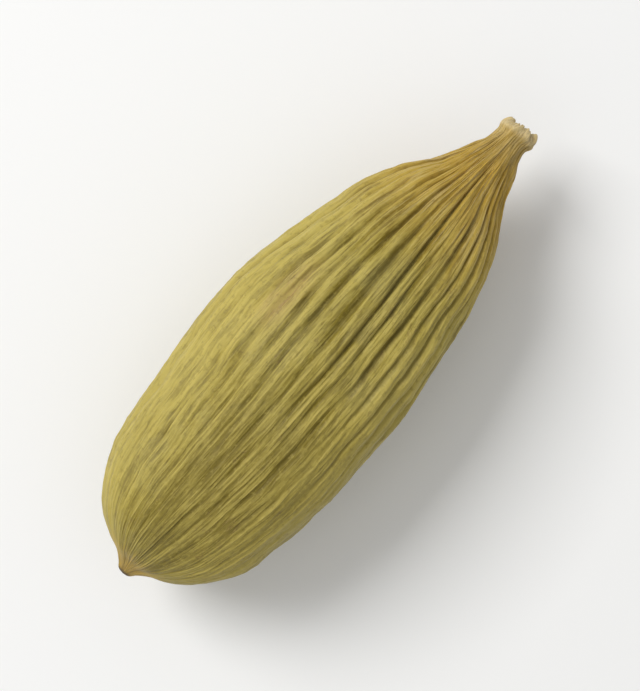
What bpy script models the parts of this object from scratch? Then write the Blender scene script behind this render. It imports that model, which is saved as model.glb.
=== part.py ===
# A dried green cardamom pod lying on its side: one papery, three-angled capsule.
# The cut stalk is at +X and the blunt, beaked tip at -X. Raised ribs fan out from the neck,
# run along the body and fade towards the tip. A small flat spot underneath carries it.
# Units are metres, +Z is up, and the origin is under the middle of the pod on the surface.

import bpy
import bmesh
import numpy as np
from mathutils import Vector, noise

NAME = "cardamom_pod"
COLLECTION = "green_cardamom"
MM = 0.001

# Driving dimensions
LENGTH = 20.5 * MM
HALF_WIDTH = 3.55 * MM
FLAT_DEPTH = 0.45 * MM

# Outline from the stalk scar to the tip: fraction of the length, fraction of the half width
OUTLINE = (
    (0.0150, 0.000),  # floor of the scar
    (0.0120, 0.080),
    (0.0000, 0.140),  # crest of the scar's rim
    (0.0110, 0.195),
    (0.0340, 0.170),  # waist of the stalk stub
    (0.0750, 0.240),
    (0.1380, 0.390),  # neck
    (0.1900, 0.570),
    (0.2500, 0.700),  # shoulder
    (0.3300, 0.822),
    (0.4100, 0.920),
    (0.4900, 0.980),
    (0.5800, 1.000),  # widest part of the body
    (0.6800, 0.985),
    (0.7700, 0.935),
    (0.8400, 0.850),
    (0.8950, 0.715),
    (0.9350, 0.540),
    (0.9620, 0.355),  # blunt end
    (0.9760, 0.195),  # foot of the beak
    (0.9880, 0.110),
    (0.9970, 0.062),
    (1.0000, 0.000),
)

# Places along the pod below are fractions of its length from the stalk scar. A pair of them
# is where something starts and where it is complete.

# Section: three rounded keels, the first one on the +Y side, with flatter faces between them
KEEL_ANGLE = np.radians(22.0)
KEEL_LOBE = 0.078
KEEL_EDGE = 0.026
KEELS_START = (0.05, 0.28)
KEELS_END = (0.94, 0.98)

# Ribs: low broad crests of unequal height and spacing, with narrow furrows of unequal depth
RIBS = 36
RIB_HEIGHT = 0.16 * MM
CREST_RANGE = (0.60, 1.10)
FURROW_RANGE = (0.40, 1.30)
RIB_SHIFT = np.radians(1.8)
SHOULDER_SHARE = 0.22  # how far a crest's shoulders lie from its middle, as a share of the spacing
RIBS_START = (0.04, 0.20)
RIBS_FADE = (0.50, 0.74)
RIB_FADED = 0.38
RIBS_END = (0.93, 0.975)
WANDER = np.radians(2.6)
WANDER_WAVES = 0.9
WANDER_TURNS = 3
SEED = 7

# Broad hollows where the husk has shrunk on the seeds
HOLLOW_SIZE = 3.6 * MM
HOLLOW_DEPTH = 0.18 * MM
HOLLOWS_START = (0.10, 0.35)
HOLLOWS_END = (0.85, 0.97)

# The middle line sways a little to +Y and back, and both ends lie lower than the middle
SWAY = 0.075 * MM
END_DIP = 0.22 * MM

# Mesh density: each rib has a column on both shoulders of its crest and one in the furrow after
# it, and the rings lie closer where the pod is thin
COLUMNS_PER_RIB = 3
COLUMNS = RIBS * COLUMNS_PER_RIB
RINGS = 54
RING_BASE = 0.12 * MM
RING_GROWTH = 0.11
OUTLINE_SAMPLES = 3000

HUSK_COLOUR = (0.34, 0.27, 0.075, 1.0)
HUSK_ROUGHNESS = 0.62


def clear_scene():
    for obj in list(bpy.data.objects):
        bpy.data.objects.remove(obj, do_unlink=True)


def step(between, value):
    """0 before the first place, 1 past the second, and a smooth rise from one to the other."""
    start, complete = between
    t = np.clip((value - start) / (complete - start), 0.0, 1.0)
    return t * t * (3.0 - 2.0 * t)


def outline_curve():
    """A smooth curve through the outline's points, as stations and half widths in metres."""
    points = np.array(OUTLINE) * (LENGTH, HALF_WIDTH)
    steps = np.linalg.norm(np.diff(points, axis=0), axis=1)
    knots = np.concatenate(([0.0], np.cumsum(steps)))
    slopes = np.gradient(points, knots, axis=0)
    at = np.linspace(0.0, knots[-1], OUTLINE_SAMPLES)
    piece = np.clip(np.searchsorted(knots, at) - 1, 0, len(steps) - 1)
    span = steps[piece][:, None]
    t = (at - knots[piece])[:, None] / span
    start, end = points[piece], points[piece + 1]
    leave, arrive = slopes[piece] * span, slopes[piece + 1] * span
    curve = start * (1 + 2 * t) * (1 - t) ** 2 + end * t * t * (3 - 2 * t)
    curve += leave * t * (1 - t) ** 2 - arrive * t * t * (1 - t)
    return curve[:, 0], np.maximum(curve[:, 1], 0.0)


def ring_places():
    """Station and half width of each ring of vertices, from the scar to the tip."""
    stations, widths = outline_curve()
    run = np.hypot(np.diff(stations), np.diff(widths))
    middle = (widths[1:] + widths[:-1]) / 2
    weight = np.concatenate(([0.0], np.cumsum(run / (RING_BASE + RING_GROWTH * middle))))
    wanted = np.linspace(0.0, weight[-1], RINGS + 1)
    return list(zip(np.interp(wanted, weight, stations), np.interp(wanted, weight, widths)))


def rib_columns():
    """Angle and relative height of each column, rib by rib: two shoulders and a furrow."""
    draw = np.random.default_rng(SEED)
    crests = draw.uniform(*CREST_RANGE, RIBS)
    depths = draw.uniform(*FURROW_RANGE, RIBS)
    middles = 2 * np.pi * np.arange(RIBS) / RIBS + draw.uniform(-RIB_SHIFT, RIB_SHIFT, RIBS)
    after = np.append(middles[1:], middles[0] + 2 * np.pi) - middles
    before = np.roll(after, 1)
    angles = (middles - SHOULDER_SHARE * before, middles + SHOULDER_SHARE * after, middles + after / 2)
    heights = (crests, crests, (crests + np.roll(crests, -1)) / 2 - depths)
    return list(zip(np.column_stack(angles).ravel(), np.column_stack(heights).ravel()))


def rib_relief(fraction, height):
    """Height of the ribs above the husk, full between the neck and the middle of the body."""
    along = step(RIBS_START, fraction) * (1.0 - step(RIBS_END, fraction))
    along *= 1.0 - (1.0 - RIB_FADED) * step(RIBS_FADE, fraction)
    return RIB_HEIGHT * height * along


def section_factor(fraction, angle):
    """How far the three-angled section departs from a circle; the stub and the tip are round."""
    body = step(KEELS_START, fraction) * (1.0 - step(KEELS_END, fraction))
    turn = 3 * (angle - KEEL_ANGLE)
    return 1.0 + body * (KEEL_LOBE * np.cos(turn) + KEEL_EDGE * np.cos(2 * turn))


def wandered(fraction, angle):
    """The angle round the pod, shifted as the ribs wander."""
    phase = 2 * np.pi * WANDER_WAVES * fraction + WANDER_TURNS * angle
    return angle + WANDER * np.sin(phase)


def middle_line(fraction):
    """Sideways and upward offset of the pod's middle line."""
    return SWAY * np.sin(2 * np.pi * fraction), -END_DIP * (2 * fraction - 1) ** 2


def surface_point(place, column):
    """Where the vertex of one ring and column lies on the pod."""
    station, width = place
    angle, height = column
    fraction = station / LENGTH
    angle = wandered(fraction, angle)
    across = Vector((0.0, np.cos(angle), np.sin(angle)))
    radius = width * section_factor(fraction, angle) + rib_relief(fraction, height)
    body = step(HOLLOWS_START, fraction) * (1.0 - step(HOLLOWS_END, fraction))
    where = Vector((-station, 0.0, 0.0)) + across * radius
    radius += HOLLOW_DEPTH * body * noise.noise(where / HOLLOW_SIZE)
    return Vector((-station, *middle_line(fraction))) + across * radius


def shape_pod(bm):
    """Move the vertices of a unit sphere, whose poles are the scar and the tip, onto the pod."""
    places, columns = ring_places(), rib_columns()
    for vert in bm.verts:
        ring = round(np.arccos(np.clip(vert.co.z, -1.0, 1.0)) / np.pi * RINGS)
        column = round(np.arctan2(vert.co.y, vert.co.x) / (2 * np.pi) * COLUMNS) % COLUMNS
        if ring in (0, RINGS):
            station = places[ring][0]
            vert.co = Vector((-station, *middle_line(station / LENGTH)))
        else:
            vert.co = surface_point(places[ring], columns[column])


def set_down(bm):
    """Flatten the resting spot, and bring the origin under the middle of the pod."""
    floor = min(vert.co.z for vert in bm.verts) + FLAT_DEPTH
    for vert in bm.verts:
        vert.co.z = max(vert.co.z, floor)
    low = Vector([min(vert.co[axis] for vert in bm.verts) for axis in range(3)])
    high = Vector([max(vert.co[axis] for vert in bm.verts) for axis in range(3)])
    centre = (low + high) / 2
    bmesh.ops.translate(bm, verts=bm.verts, vec=(-centre.x, -centre.y, -low.z))


def husk_material():
    material = bpy.data.materials.new("green_husk")
    material.use_nodes = True
    shader = material.node_tree.nodes["Principled BSDF"]
    shader.inputs["Base Color"].default_value = HUSK_COLOUR
    shader.inputs["Roughness"].default_value = HUSK_ROUGHNESS
    shader.inputs["Metallic"].default_value = 0.0
    return material


def build_pod(collection):
    bm = bmesh.new()
    bmesh.ops.create_uvsphere(bm, u_segments=COLUMNS, v_segments=RINGS, radius=1.0)
    shape_pod(bm)
    set_down(bm)
    bmesh.ops.recalc_face_normals(bm, faces=bm.faces)
    mesh = bpy.data.meshes.new(NAME)
    bm.to_mesh(mesh)
    bm.free()
    mesh.shade_smooth()
    mesh.materials.append(husk_material())
    collection.objects.link(bpy.data.objects.new(NAME, mesh))


clear_scene()
pods = bpy.data.collections.new(COLLECTION)
bpy.context.scene.collection.children.link(pods)
build_pod(pods)
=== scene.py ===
import math
import bpy
import bmesh
import numpy as np
from mathutils import Matrix, Vector, noise


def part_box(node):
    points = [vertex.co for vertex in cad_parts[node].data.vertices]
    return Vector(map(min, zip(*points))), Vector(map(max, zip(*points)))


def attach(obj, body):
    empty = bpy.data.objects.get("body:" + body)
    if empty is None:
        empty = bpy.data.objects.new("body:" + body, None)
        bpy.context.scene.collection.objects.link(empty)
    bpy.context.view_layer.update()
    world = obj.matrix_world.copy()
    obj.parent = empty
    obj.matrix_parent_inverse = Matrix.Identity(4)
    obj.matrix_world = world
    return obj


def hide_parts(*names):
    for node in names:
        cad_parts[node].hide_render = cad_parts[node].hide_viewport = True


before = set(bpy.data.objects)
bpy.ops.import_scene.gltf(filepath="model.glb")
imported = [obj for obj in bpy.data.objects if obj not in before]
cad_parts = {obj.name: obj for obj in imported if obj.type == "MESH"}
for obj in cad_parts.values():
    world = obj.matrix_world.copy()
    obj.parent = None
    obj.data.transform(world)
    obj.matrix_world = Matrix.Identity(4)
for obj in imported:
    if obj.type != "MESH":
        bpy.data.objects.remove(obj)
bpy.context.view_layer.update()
podLow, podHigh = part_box("cardamom_pod")
podSize = podHigh - podLow
mm = 0.001
print("frame loaded, pod", [round(side / mm, 2) for side in podSize], "mm")


# The pod's form. Places along it are fractions of its length from the stalk scar, and a pair of
# them is where something starts and where it is complete.
pod = {
    "length": podSize.x,
    "halfWidth": 3.55 * mm,
    "columnsPerRib": 12,
    "rings": 226,
    "ringBase": 0.10 * mm,
    "ringGrowth": 0.12,  # of the half width there
    # fraction of the length, fraction of the half width
    "outline": (
        (0.0150, 0.000),  # floor of the scar
        (0.0120, 0.080),
        (0.0000, 0.140),  # crest of the scar's rim
        (0.0110, 0.195),
        (0.0340, 0.170),  # waist of the stalk stub
        (0.0750, 0.240),
        (0.1380, 0.390),  # neck
        (0.1900, 0.570),
        (0.2500, 0.700),  # shoulder
        (0.3300, 0.822),
        (0.4100, 0.920),
        (0.4900, 0.980),
        (0.5800, 1.000),  # widest part of the body
        (0.6800, 0.985),
        (0.7700, 0.935),
        (0.8400, 0.850),
        (0.8950, 0.715),
        (0.9350, 0.540),
        (0.9620, 0.355),  # blunt end
        (0.9760, 0.195),  # foot of the beak
        (0.9880, 0.110),
        (0.9970, 0.062),
        (1.0000, 0.000),
    ),
    "outlineSamples": 6000,
    # rounded keels, the first one on the +Y side
    "keels": 3,
    "keelAngle": math.radians(22.0),
    "keelLobe": 0.078,
    "keelEdge": 0.026,
    "keelsStart": (0.05, 0.28),
    "keelsEnd": (0.94, 0.98),
    # ribs of unequal height and spacing, with furrows of unequal depth between them
    "ribs": 36,
    "ribHeight": 0.16 * mm,
    "crestRange": (0.60, 1.10),
    "furrowRange": (0.40, 1.30),
    "furrowSharpness": 3.2,
    "ribShift": math.radians(1.8),
    "ribsStart": (0.04, 0.20),
    "ribsFade": (0.50, 0.74),
    "ribFaded": 0.38,
    "ribsEnd": (0.93, 0.975),
    "wander": math.radians(2.6),
    "wanderWaves": 0.9,
    "wanderTurns": 3,
    "seed": 7,
    # broad hollows where the husk has shrunk
    "hollowSize": 3.6 * mm,
    "hollowDepth": 0.18 * mm,
    "hollowsStart": (0.10, 0.35),
    "hollowsEnd": (0.85, 0.97),
    # the middle line sways sideways, and both ends lie lower than the middle
    "sway": 0.075 * mm,
    "endDip": 0.22 * mm,
}

# Fine relief of the dry husk, on top of that form. A length runs along the pod, and a width round
# it, measured where its radius is the one below. Offsets keep the patterns of noise apart.
relief = {
    "radius": 3.2 * mm,
    "start": (0.02, 0.10),
    "end": (0.955, 0.985),
    # each rib drifts sideways, and the furrow after it deepens and fills along its run
    "drift": {"angle": math.radians(1.6), "length": 6.5 * mm, "width": 0.8 * mm, "offset": 0.0},
    "driftStart": (0.05, 0.25),
    "breaks": {"change": 0.9, "range": (0.1, 1.3), "length": 3.2 * mm, "apart": 3.7},
    # past the middle the ribs are fainter, except beside the first keel
    "worn": {"along": (0.44, 0.66), "side": (0.93, 0.66), "ribs": 0.55, "wrinkles": 0.4},
    # fine strands along each rib, which shift sideways by a share of a rib, and come and go
    "strands": {"perRib": 3, "sharpness": 1.4, "height": 0.042 * mm},
    "strandShift": {"share": 0.16, "length": 2.4 * mm, "width": 0.50 * mm, "offset": 3.0},
    "strandRuns": {"mean": 0.50, "change": 1.5, "length": 2.4 * mm, "width": 0.25 * mm, "offset": 5.0},
    "wrinkles": {"depth": 0.045 * mm, "length": 1.9 * mm, "width": 0.30 * mm, "offset": 0.0},
    "creases": {"depth": 0.050 * mm, "length": 0.9 * mm, "width": 0.17 * mm, "offset": 9.0},
    "puckers": {"depth": 0.040 * mm, "length": 0.30 * mm, "width": 0.60 * mm, "offset": 31.0},
    "puckersOnCrest": 0.5,  # of their depth in a furrow
    "dents": {"depth": 0.085 * mm, "length": 1.3 * mm, "width": 1.3 * mm, "offset": 17.0},
    # folds and ragged fibres of the neck, the stub and the beak, as shares of the radius there
    "neck": (0.16, 0.04),
    "beak": (0.955, 0.985),
    "folds": {"share": 0.045, "count": 9, "twist": 3.0},
    "fray": {"share": 0.10, "around": 4.0, "length": 0.5 * mm},
    # the uneven cut of the stalk: how far it reaches inside and outside the rim, and its chips
    "cut": {"inside": (0.4, 1.0), "outside": (0.003, 0.035), "depth": 0.20 * mm, "mean": 0.5, "tilt": 0.10},
    "chips": {"share": 1.0, "around": 2.6, "offset": 4.0},
    "nicks": {"share": 0.6, "around": 7.0, "offset": 8.0},
    "keelSharpness": 5,  # of the mask that paints the keels
}


def smooth(between, value):
    start, complete = between
    t = np.clip((value - start) / (complete - start), 0.0, 1.0)
    return t * t * (3.0 - 2.0 * t)


def within(start, end, spot):  # 1 on the stretch of the pod between a start and an end
    return smooth(start, spot["fraction"]) * (1.0 - smooth(end, spot["fraction"]))


def outlineCurve():  # a smooth curve through the outline's points
    points = np.array(pod["outline"]) * (pod["length"], pod["halfWidth"])
    steps = np.linalg.norm(np.diff(points, axis=0), axis=1)
    knots = np.concatenate(([0.0], np.cumsum(steps)))
    slopes = np.gradient(points, knots, axis=0)
    at = np.linspace(0.0, knots[-1], pod["outlineSamples"])
    piece = np.clip(np.searchsorted(knots, at) - 1, 0, len(steps) - 1)
    span = steps[piece][:, None]
    t = (at - knots[piece])[:, None] / span
    start, end = points[piece], points[piece + 1]
    leave, arrive = slopes[piece] * span, slopes[piece + 1] * span
    curve = start * (1 + 2 * t) * (1 - t) ** 2 + end * t * t * (3 - 2 * t)
    curve += leave * t * (1 - t) ** 2 - arrive * t * t * (1 - t)
    return curve[:, 0], np.maximum(curve[:, 1], 0.0)


def ringPlaces():  # station and half width of each ring, and rings lie closer where the pod is thin
    stations, widths = outlineCurve()
    run = np.hypot(np.diff(stations), np.diff(widths))
    middle = (widths[1:] + widths[:-1]) / 2
    spacing = pod["ringBase"] + pod["ringGrowth"] * middle
    weight = np.concatenate(([0.0], np.cumsum(run / spacing)))
    wanted = np.linspace(0.0, weight[-1], pod["rings"] + 1)
    return np.interp(wanted, weight, stations), np.interp(wanted, weight, widths)


def noiseAt(*coordinates):
    places = np.column_stack(np.broadcast_arrays(*coordinates)).tolist()
    return np.array([noise.noise(place) for place in places])


def huskNoise(spot, pattern):  # noise on the husk as if unrolled, stretched along it
    around = relief["radius"] / pattern["width"]
    along = spot["station"] / pattern["length"] + pattern["offset"]
    return noiseAt(along, spot["cos"] * around + pattern["offset"], spot["sin"] * around)


def rimNoise(spot, pattern):  # noise that changes round the pod alone
    around = pattern["around"]
    return pattern["share"] * noiseAt(spot["cos"] * around, spot["sin"] * around, pattern["offset"])


def ribDraws():  # where each rib's middle lies, how high it stands and how deep the furrow after it is
    draw = np.random.default_rng(pod["seed"])
    crests = draw.uniform(*pod["crestRange"], pod["ribs"])
    depths = draw.uniform(*pod["furrowRange"], pod["ribs"])
    shifts = draw.uniform(-pod["ribShift"], pod["ribShift"], pod["ribs"])
    return 2 * np.pi * np.arange(pod["ribs"]) / pod["ribs"] + shifts, crests, depths


def turnTo(spot, angle):
    spot.update(angle=angle, cos=np.cos(angle), sin=np.sin(angle))


def makeSpots(ring, column):  # where each vertex lies on the pod
    stations, widths = ringPlaces()
    spot = {"ring": ring, "station": stations[ring], "width": widths[ring]}
    spot["fraction"] = spot["station"] / pod["length"]
    spot["turns"] = column / pod["columnsPerRib"]  # counts ribs round the pod, whole on a crest
    middles = ribDraws()[0]
    middles = np.append(middles, middles[0] + 2 * np.pi)
    plain = np.interp(spot["turns"], np.arange(pod["ribs"] + 1), middles)
    turnTo(spot, plain)
    drift = relief["drift"]["angle"] * huskNoise(spot, relief["drift"])
    drift *= smooth(relief["driftStart"], spot["fraction"])
    phase = 2 * np.pi * pod["wanderWaves"] * spot["fraction"] + pod["wanderTurns"] * plain
    turnTo(spot, plain + pod["wander"] * np.sin(phase) + drift)
    spot["fromKeel"] = spot["angle"] - pod["keelAngle"]
    worn = smooth(relief["worn"]["along"], spot["fraction"])
    spot["worn"] = worn * smooth(relief["worn"]["side"], np.cos(spot["fromKeel"]))
    rimRing = int(np.argmin(stations))
    # 0 at the middle of the scar, rising to 1 on the crest of its rim, and 1 everywhere outside it
    spot["toRim"] = np.where(ring < rimRing, spot["width"] / widths[rimRing], 1.0)
    return spot


def ribRelief(spot):  # the ribs' height, how deep in a furrow each vertex lies, and how full the ribs are
    _, crests, depths = ribDraws()
    rib = np.floor(spot["turns"]).astype(int)
    past = spot["turns"] - rib
    after = (rib + 1) % pod["ribs"]
    crest = crests[rib] + (crests[after] - crests[rib]) * smooth((0.0, 1.0), past)
    dip = (0.5 - 0.5 * np.cos(2 * np.pi * past)) ** pod["furrowSharpness"]
    breaks = relief["breaks"]
    depth = noiseAt(spot["station"] / breaks["length"], rib * breaks["apart"], 0.0)
    furrow = dip * depths[rib] * np.clip(1.0 + breaks["change"] * depth, *breaks["range"])
    furrow *= 1.0 - relief["worn"]["ribs"] * spot["worn"]
    along = within(pod["ribsStart"], pod["ribsEnd"], spot)
    along *= 1.0 - (1.0 - pod["ribFaded"]) * smooth(pod["ribsFade"], spot["fraction"])
    return pod["ribHeight"] * (crest - furrow) * along, furrow, along


def huskRelief(spot, furrow):  # wrinkles, creases, puckers, dents and strands, in metres
    shift = relief["strandShift"]["share"] * huskNoise(spot, relief["strandShift"])
    waves = np.cos(2 * np.pi * (spot["turns"] + shift) * relief["strands"]["perRib"])
    strands = (0.5 + 0.5 * waves) ** relief["strands"]["sharpness"]
    runs = relief["strandRuns"]
    strands *= np.clip(runs["mean"] + runs["change"] * huskNoise(spot, runs), 0.0, 1.0)
    marks = {name: relief[name]["depth"] * huskNoise(spot, relief[name])
             for name in ("wrinkles", "creases", "puckers", "dents")}
    onCrest = relief["puckersOnCrest"]
    height = relief["strands"]["height"] * strands
    height += marks["wrinkles"] * (1.0 - relief["worn"]["wrinkles"] * spot["worn"])
    height -= np.abs(marks["creases"])
    height += marks["puckers"] * (onCrest + (1.0 - onCrest) * furrow)
    height += marks["dents"]
    return height * within(relief["start"], relief["end"], spot), strands


def sectionFactor(spot):  # how far the angled section departs from a circle
    turn = pod["keels"] * spot["fromKeel"]
    lobes = pod["keelLobe"] * np.cos(turn) + pod["keelEdge"] * np.cos(2 * turn)
    return 1.0 + within(pod["keelsStart"], pod["keelsEnd"], spot) * lobes


def foldFactor(spot):  # folds and ragged fibres of the neck, the stub and the beak
    folds, fray = relief["folds"], relief["fray"]
    ends = smooth(relief["neck"], spot["fraction"]) + smooth(relief["beak"], spot["fraction"])
    creased = folds["share"] * np.cos(folds["count"] * spot["angle"] + folds["twist"] * spot["fraction"])
    around = spot["cos"] * fray["around"], spot["sin"] * fray["around"]
    frayed = fray["share"] * noiseAt(*around, spot["station"] / fray["length"])
    return 1.0 + ends * (creased + frayed)


def cutBack(spot):  # the stalk was cut unevenly: how far the rim stands back at each vertex
    cut = relief["cut"]
    nearRim = smooth(cut["inside"], spot["toRim"]) * (1.0 - smooth(cut["outside"], spot["fraction"]))
    chips = cut["mean"] + rimNoise(spot, relief["chips"]) + rimNoise(spot, relief["nicks"])
    return nearRim * (cut["depth"] * chips + cut["tilt"] * spot["width"] * spot["cos"])


def podPlaces(spot):  # the fine pod's vertices, and what its finish reads from them
    ribs, furrow, ribbed = ribRelief(spot)
    fine, strands = huskRelief(spot, furrow)
    radius = spot["width"] * sectionFactor(spot) * foldFactor(spot) + ribs
    across = radius / pod["hollowSize"]
    hollow = noiseAt(-spot["station"] / pod["hollowSize"], spot["cos"] * across, spot["sin"] * across)
    hollow *= pod["hollowDepth"] * within(pod["hollowsStart"], pod["hollowsEnd"], spot)
    radius = np.maximum(radius + hollow + fine, 0.0)
    radius[(spot["ring"] == 0) | (spot["ring"] == pod["rings"])] = 0.0
    lean = pod["sway"] * np.sin(2 * np.pi * spot["fraction"])
    dip = pod["endDip"] * (2 * spot["fraction"] - 1) ** 2
    x = -spot["station"] - cutBack(spot)
    places = np.column_stack((x, lean + spot["cos"] * radius, spot["sin"] * radius - dip))
    return places, {
        "along": spot["fraction"],
        "furrow": furrow,
        "ribbed": ribbed,
        "strand": strands,
        "keel": (0.5 + 0.5 * np.cos(pod["keels"] * spot["fromKeel"])) ** relief["keelSharpness"],
        "side": np.cos(spot["fromKeel"]),  # 1 at the first keel, -1 opposite it
        "scar": 1.0 - spot["toRim"],
    }


def fitToFrame(places):  # the fine pod stands where the frame's pod does, and inside its box
    floor = places[:, 2].max() - podSize.z
    places[:, 2] = np.maximum(places[:, 2], floor) - floor
    for axis in (0, 1):
        low, high = places[:, axis].min(), places[:, axis].max()
        middle = (podLow[axis] + podHigh[axis]) / 2
        places[:, axis] = middle + (places[:, axis] - (low + high) / 2) * podSize[axis] / (high - low)
    return places


def ballGrid(mesh, columns):  # ring and column of each vertex of a unit ball
    ball = np.empty(len(mesh.vertices) * 3)
    mesh.vertices.foreach_get("co", ball)
    x, y, z = ball.reshape(-1, 3).T
    ring = np.rint(np.arctan2(np.hypot(x, y), z) / np.pi * pod["rings"]).astype(int)
    return ring, np.rint(np.arctan2(y, x) / (2 * np.pi) * columns) % columns


def buildPod():
    bm = bmesh.new()
    columns = pod["ribs"] * pod["columnsPerRib"]
    bmesh.ops.create_uvsphere(bm, u_segments=columns, v_segments=pod["rings"], radius=1.0)
    bmesh.ops.recalc_face_normals(bm, faces=bm.faces)
    mesh = bpy.data.meshes.new("podHusk")
    bm.to_mesh(mesh)
    bm.free()
    spot = makeSpots(*ballGrid(mesh, columns))
    places, finish = podPlaces(spot)
    mesh.vertices.foreach_set("co", fitToFrame(places).ravel())
    for name, values in finish.items():
        mesh.attributes.new(name, "FLOAT", "POINT").data.foreach_set("value", values)
    radius = relief["radius"] / mm
    rolled = np.column_stack((spot["station"] / mm, spot["cos"] * radius, spot["sin"] * radius))
    mesh.attributes.new("rolled", "FLOAT_VECTOR", "POINT").data.foreach_set("vector", rolled.ravel())
    mesh.shade_smooth()
    husk = bpy.data.objects.new("pod_husk", mesh)
    bpy.context.scene.collection.objects.link(husk)
    print("pod husk:", len(mesh.vertices), "vertices")
    return husk


# Wraps a socket, so that shader maths reads as plain sums
class Wire:
    def __init__(self, tree, socket=None):
        self.tree = tree
        self.socket = socket

    def node(self, kind, settings, inputs, output=0):
        made = self.tree.nodes.new(kind)
        for name, value in settings.items():
            setattr(made, name, value)
        for name, value in inputs.items():
            if isinstance(value, Wire):
                self.tree.links.new(value.socket, made.inputs[name])
            else:
                made.inputs[name].default_value = value
        return Wire(self.tree, made.outputs[output])

    def maths(self, operation, first, second):
        if self.socket.type == "VECTOR":
            return self.node("ShaderNodeVectorMath", {"operation": operation}, {0: first, 1: second})
        return self.node("ShaderNodeMath", {"operation": operation}, {0: first, 1: second})

    def __add__(self, other):
        return self.maths("ADD", self, other)

    def __radd__(self, other):
        return self.maths("ADD", other, self)

    def __sub__(self, other):
        return self.maths("SUBTRACT", self, other)

    def __rsub__(self, other):
        return self.maths("SUBTRACT", other, self)

    def __mul__(self, other):
        return self.maths("MULTIPLY", self, other)

    def __rmul__(self, other):
        return self.maths("MULTIPLY", other, self)

    def step(self, low, high):  # a smooth rise from low to high, or a fall if low is the larger
        inputs = {"Value": self, "From Min": low, "From Max": high}
        return self.node("ShaderNodeMapRange", {"interpolation_type": "SMOOTHSTEP"}, inputs)

    def between(self, first, second):  # first where this mask is 0, second where it is 1
        return self.node("ShaderNodeMix", {"data_type": "RGBA"}, {0: self, 6: first, 7: second}, 2)

    def noise(self, stretch, detail, roughness):
        inputs = {"Vector": self * stretch, "Scale": 1.0, "Detail": detail, "Roughness": roughness}
        return self.node("ShaderNodeTexNoise", {}, inputs, "Fac")

    def read(self, name, output="Fac"):  # a value that the mesh carries at its vertices
        return self.node("ShaderNodeAttribute", {"attribute_name": name}, {}, output)


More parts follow.
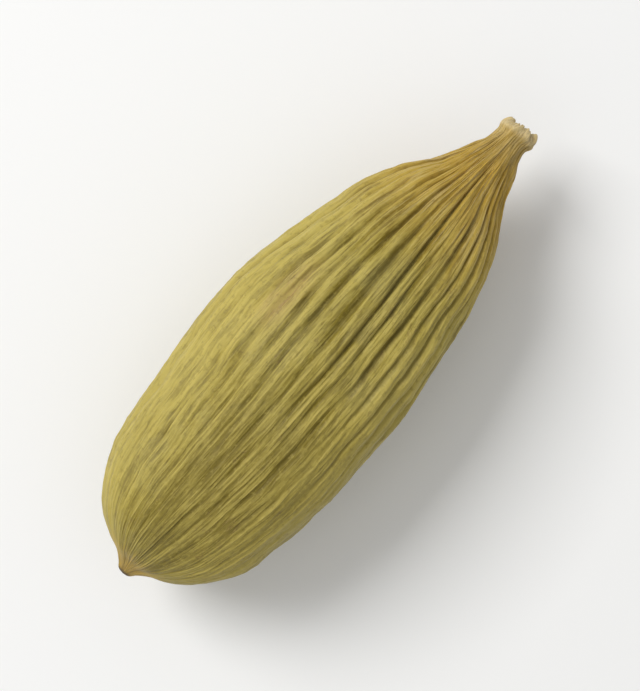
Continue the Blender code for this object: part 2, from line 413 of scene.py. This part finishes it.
huskFinish = {
    "surface": {
        "Specular IOR Level": 0.30,
        "Sheen Weight": 0.06,
        "Subsurface Weight": 0.08,
        "Subsurface Scale": 0.25 * mm,
        "Subsurface Radius": (1.0, 0.75, 0.3),
    },
    "colours": {
        "olive": (0.240, 0.180, 0.011, 1.0),
        "ochre": (0.156, 0.115, 0.006, 1.0),
        # sage also paints the shade on the side away from the first keel
        "sage": (0.292, 0.245, 0.070, 1.0),
        # straw also paints light on the side toward the key light
        "straw": (0.525, 0.422, 0.100, 1.0),
        # furrow also paints the shade in the rib furrows
        "furrow": (0.084, 0.058, 0.005, 1.0),
        "tan": (0.520, 0.325, 0.042, 1.0),
        "tanShade": (0.170, 0.092, 0.014, 1.0),
        "blush": (0.350, 0.222, 0.092, 1.0),
        "bark": (0.100, 0.050, 0.018, 1.0),
        "rim": (0.740, 0.580, 0.290, 1.0),
    },
    # noise on the unrolled husk: how closely it is packed along and round, its detail and roughness
    "patterns": {
        "clouds": ((0.24, 0.34, 0.34), 3.0, 0.55),
        "mottle": ((0.45, 0.55, 0.55), 4.0, 0.60),
        "patches": ((1.1, 1.6, 1.6), 3.0, 0.60),
        "grain": ((5.0, 8.0, 8.0), 3.0, 0.60),
        "fibres": ((0.40, 5.0, 5.0), 4.0, 0.60),
        "hairs": ((0.9, 14.0, 14.0), 2.0, 0.50),
    },
    # places along the pod made uneven: the pattern, and how far it shifts them
    "edges": {
        "faceEdge": ("clouds", 0.25),
        "neckEdge": ("fibres", 0.12),
        "beakEdge": ("fibres", 0.048),
        "rimEdge": ("fibres", 0.018),
    },
    # areas, each where all its masks are: a mask, and the values where it starts and is complete
    "areas": {
        "farFace": (("faceEdge", 0.48, 0.66), ("side", 0.88, 0.62)),
        "shoulder": (
            ("along", 0.37, 0.46),
            ("along", 0.56, 0.49),
            ("side", 0.74, 0.85),
            ("side", 0.95, 0.88),
        ),
        "stub": (("along", 0.10, 0.03),),
        "speckled": (("grain", 0.44, 0.56),),
    },
    "calm": 0.35,  # how far the fibres fade on the far face
    # Layers of colour, from the lowest up: the mask, the values where it starts and is complete
    # (None takes it as it is), another mask that limits it, how much of it covers, and the colour
    "tanned": (
        ("fibres", (0.50, 0.33), None, 0.80, "tanShade"),
        ("hairs", (0.50, 0.66), None, 0.40, "rim"),
        ("fibres", (0.42, 0.54), "stub", 0.40, "rim"),
        # partly the neck's darker furrows and partly painted shade in them
        ("furrow", (0.25, 0.95), "ribbed", 0.50, "tanShade"),
    ),
    "husk": (
        ("mottle", (0.42, 0.62), None, 0.70, "sage"),
        ("farFace", None, None, 0.80, "ochre"),
        ("clouds", (0.50, 0.34), None, 0.45, "ochre"),
        # painted shade: the side away from the first keel greyed to sage, the look of that face in shade
        ("side", (-0.35, -0.80), None, 0.75, "sage"),
        # partly the husk's pale keel side and partly painted light: the side toward the key light made
        # paler
        ("side", (0.60, 1.00), None, 0.50, "straw"),
        ("mottle", (0.35, 0.52), "shoulder", 0.85, "blush"),
        ("furrow", (0.30, 0.02), "ribbed", 0.40, "straw"),
        ("strand", (0.25, 0.80), None, 0.45, "straw"),
        ("fibres", (0.50, 0.60), "clear", 0.48, "straw"),
        ("fibres", (0.47, 0.38), "clear", 0.42, "furrow"),
        ("hairs", (0.52, 0.62), "clear", 0.34, "straw"),
        ("hairs", (0.47, 0.38), "clear", 0.30, "furrow"),
        # partly the husk's darker furrows and partly painted shade in the furrows
        ("furrow", (0.40, 1.00), "ribbed", 0.45, "furrow"),
        ("along", (0.12, 0.35), "keel", 0.45, "straw"),
        ("neckEdge", (0.36, 0.08), None, 0.90, "tanned"),
        ("beakEdge", (0.945, 0.99), None, 0.85, "tanned"),
        ("rimEdge", (0.028, 0.012), None, 0.90, "rim"),
        ("scar", (0.15, 0.55), None, 1.00, "bark"),
        ("along", (0.991, 0.998), None, 1.00, "bark"),
        ("patches", (0.60, 0.70), "speckled", 0.35, "bark"),
        ("grain", (0.55, 0.66), None, 0.22, "straw"),
        ("grain", (0.44, 0.34), None, 0.22, "furrow"),
    ),
    "roughness": {"least": 0.50, "swing": 0.20},
    "bump": {"fibres": 0.45, "hairs": 0.35, "grain": 0.20, "depth": 0.130 * mm},
}


def newMaterial(name, constants):
    material = bpy.data.materials.new(name)
    material.use_nodes = True
    for socket, value in constants.items():
        material.node_tree.nodes["Principled BSDF"].inputs[socket].default_value = value
    return material


def feed(material, socket, wire):
    shader = material.node_tree.nodes["Principled BSDF"]
    material.node_tree.links.new(wire.socket, shader.inputs[socket])


def huskMasks(start):  # everything that the colours follow, by name
    names = ("along", "side", "furrow", "ribbed", "strand", "keel", "scar")
    masks = {name: start.read(name) for name in names}
    rolled = start.read("rolled", "Vector")  # millimetres along the pod, and round it unrolled
    for name, pattern in huskFinish["patterns"].items():
        masks[name] = rolled.noise(*pattern)
    for name, (pattern, amount) in huskFinish["edges"].items():
        masks[name] = masks["along"] + (masks[pattern] - 0.5) * amount
    for name, spans in huskFinish["areas"].items():
        masks[name] = math.prod(masks[mask].step(low, high) for mask, low, high in spans)
    masks["clear"] = 1.0 - masks["farFace"] * huskFinish["calm"]
    return masks


def layered(colour, layers, masks, colours):
    for name, span, limit, share, tint in layers:
        cover = masks[name].step(*span) if span else masks[name]
        if limit:
            cover = cover * masks[limit]
        colour = (cover * share).between(colour, colours[tint])
    return colour


def paintHusk(husk):
    material = newMaterial("greenHusk", huskFinish["surface"])
    start = Wire(material.node_tree)
    masks = huskMasks(start)
    colours = dict(huskFinish["colours"])
    colours["tanned"] = layered(colours["tan"], huskFinish["tanned"], masks, colours)
    feed(material, "Base Color", layered(colours["olive"], huskFinish["husk"], masks, colours))
    roughness, bump = huskFinish["roughness"], huskFinish["bump"]
    feed(material, "Roughness", roughness["least"] + masks["fibres"] * roughness["swing"])
    fibres, hairs, grain = (masks[name] * bump[name] for name in ("fibres", "hairs", "grain"))
    inputs = {"Height": fibres + hairs + grain, "Distance": bump["depth"]}
    feed(material, "Normal", start.node("ShaderNodeBump", {}, inputs))
    husk.data.materials.append(material)
    print("husk painted")


def makePod():
    husk = buildPod()
    paintHusk(husk)
    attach(husk, "root")
    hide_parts("cardamom_pod")


studio = {
    "floorSide": 1.2,
    "floorDrop": 0.01 * mm,
    "floor": {"Base Color": (0.90, 0.90, 0.89, 1.0), "Roughness": 0.7},
    "world": {"Color": (1.0, 1.0, 1.0, 1.0), "Strength": 0.46},
    "keyLight": {"from": (-0.02, 0.18, 0.21), "side": 0.14, "power": 0.54},
    "fillLight": {"from": (-0.16, -0.02, 0.20), "side": 0.20, "power": 0.06},
}


def makeFloor():
    bpy.ops.mesh.primitive_plane_add(size=studio["floorSide"], location=(0, 0, -studio["floorDrop"]))
    floor = bpy.context.object
    floor.name = "paleFloor"
    floor.data.materials.append(newMaterial("palePaper", studio["floor"]))


def makeLight(name):
    light = studio[name]
    lamp = bpy.data.lights.new(name, "AREA")
    lamp.size = light["side"]
    lamp.energy = light["power"]
    holder = bpy.data.objects.new(name, lamp)
    holder.location = light["from"]
    towards = (podLow + podHigh) / 2 - Vector(light["from"])
    holder.rotation_euler = towards.to_track_quat("-Z", "Y").to_euler()
    bpy.context.scene.collection.objects.link(holder)


def makeWorld():
    world = bpy.data.worlds.new("studioWorld")
    world.use_nodes = True
    for socket, value in studio["world"].items():
        world.node_tree.nodes["Background"].inputs[socket].default_value = value
    bpy.context.scene.world = world
    bpy.context.scene.view_settings.view_transform = "Standard"


def makeStudio():
    makeFloor()
    makeLight("keyLight")
    makeLight("fillLight")
    makeWorld()
    print("studio ready")


view = {
    "stalkAngle": math.radians(48.0),  # of the pod's long axis above the picture's lower edge
    "lens": 110.0,
    "sensor": 36.0,
    "tall": 23.4 * mm,  # what the picture's height takes in at the pod's middle
    "clip": 50,  # the camera sees from its distance divided by this to its distance times this
}


def makeCamera():
    lens = bpy.data.cameras.new("camera")
    lens.lens = view["lens"]
    lens.sensor_width = view["sensor"]
    away = view["tall"] * view["lens"] / view["sensor"]
    lens.clip_start = away / view["clip"]
    lens.clip_end = away * view["clip"]
    camera = bpy.data.objects.new("camera", lens)
    middle = (podLow + podHigh) / 2
    turn = Matrix.Rotation(-view["stalkAngle"], 4, "Z")
    camera.matrix_world = Matrix.Translation(middle + Vector((0, 0, away))) @ turn
    bpy.context.scene.collection.objects.link(camera)
    bpy.context.scene.camera = camera
    print("camera", round(away / mm), "mm above the pod")


makePod()
makeStudio()
makeCamera()
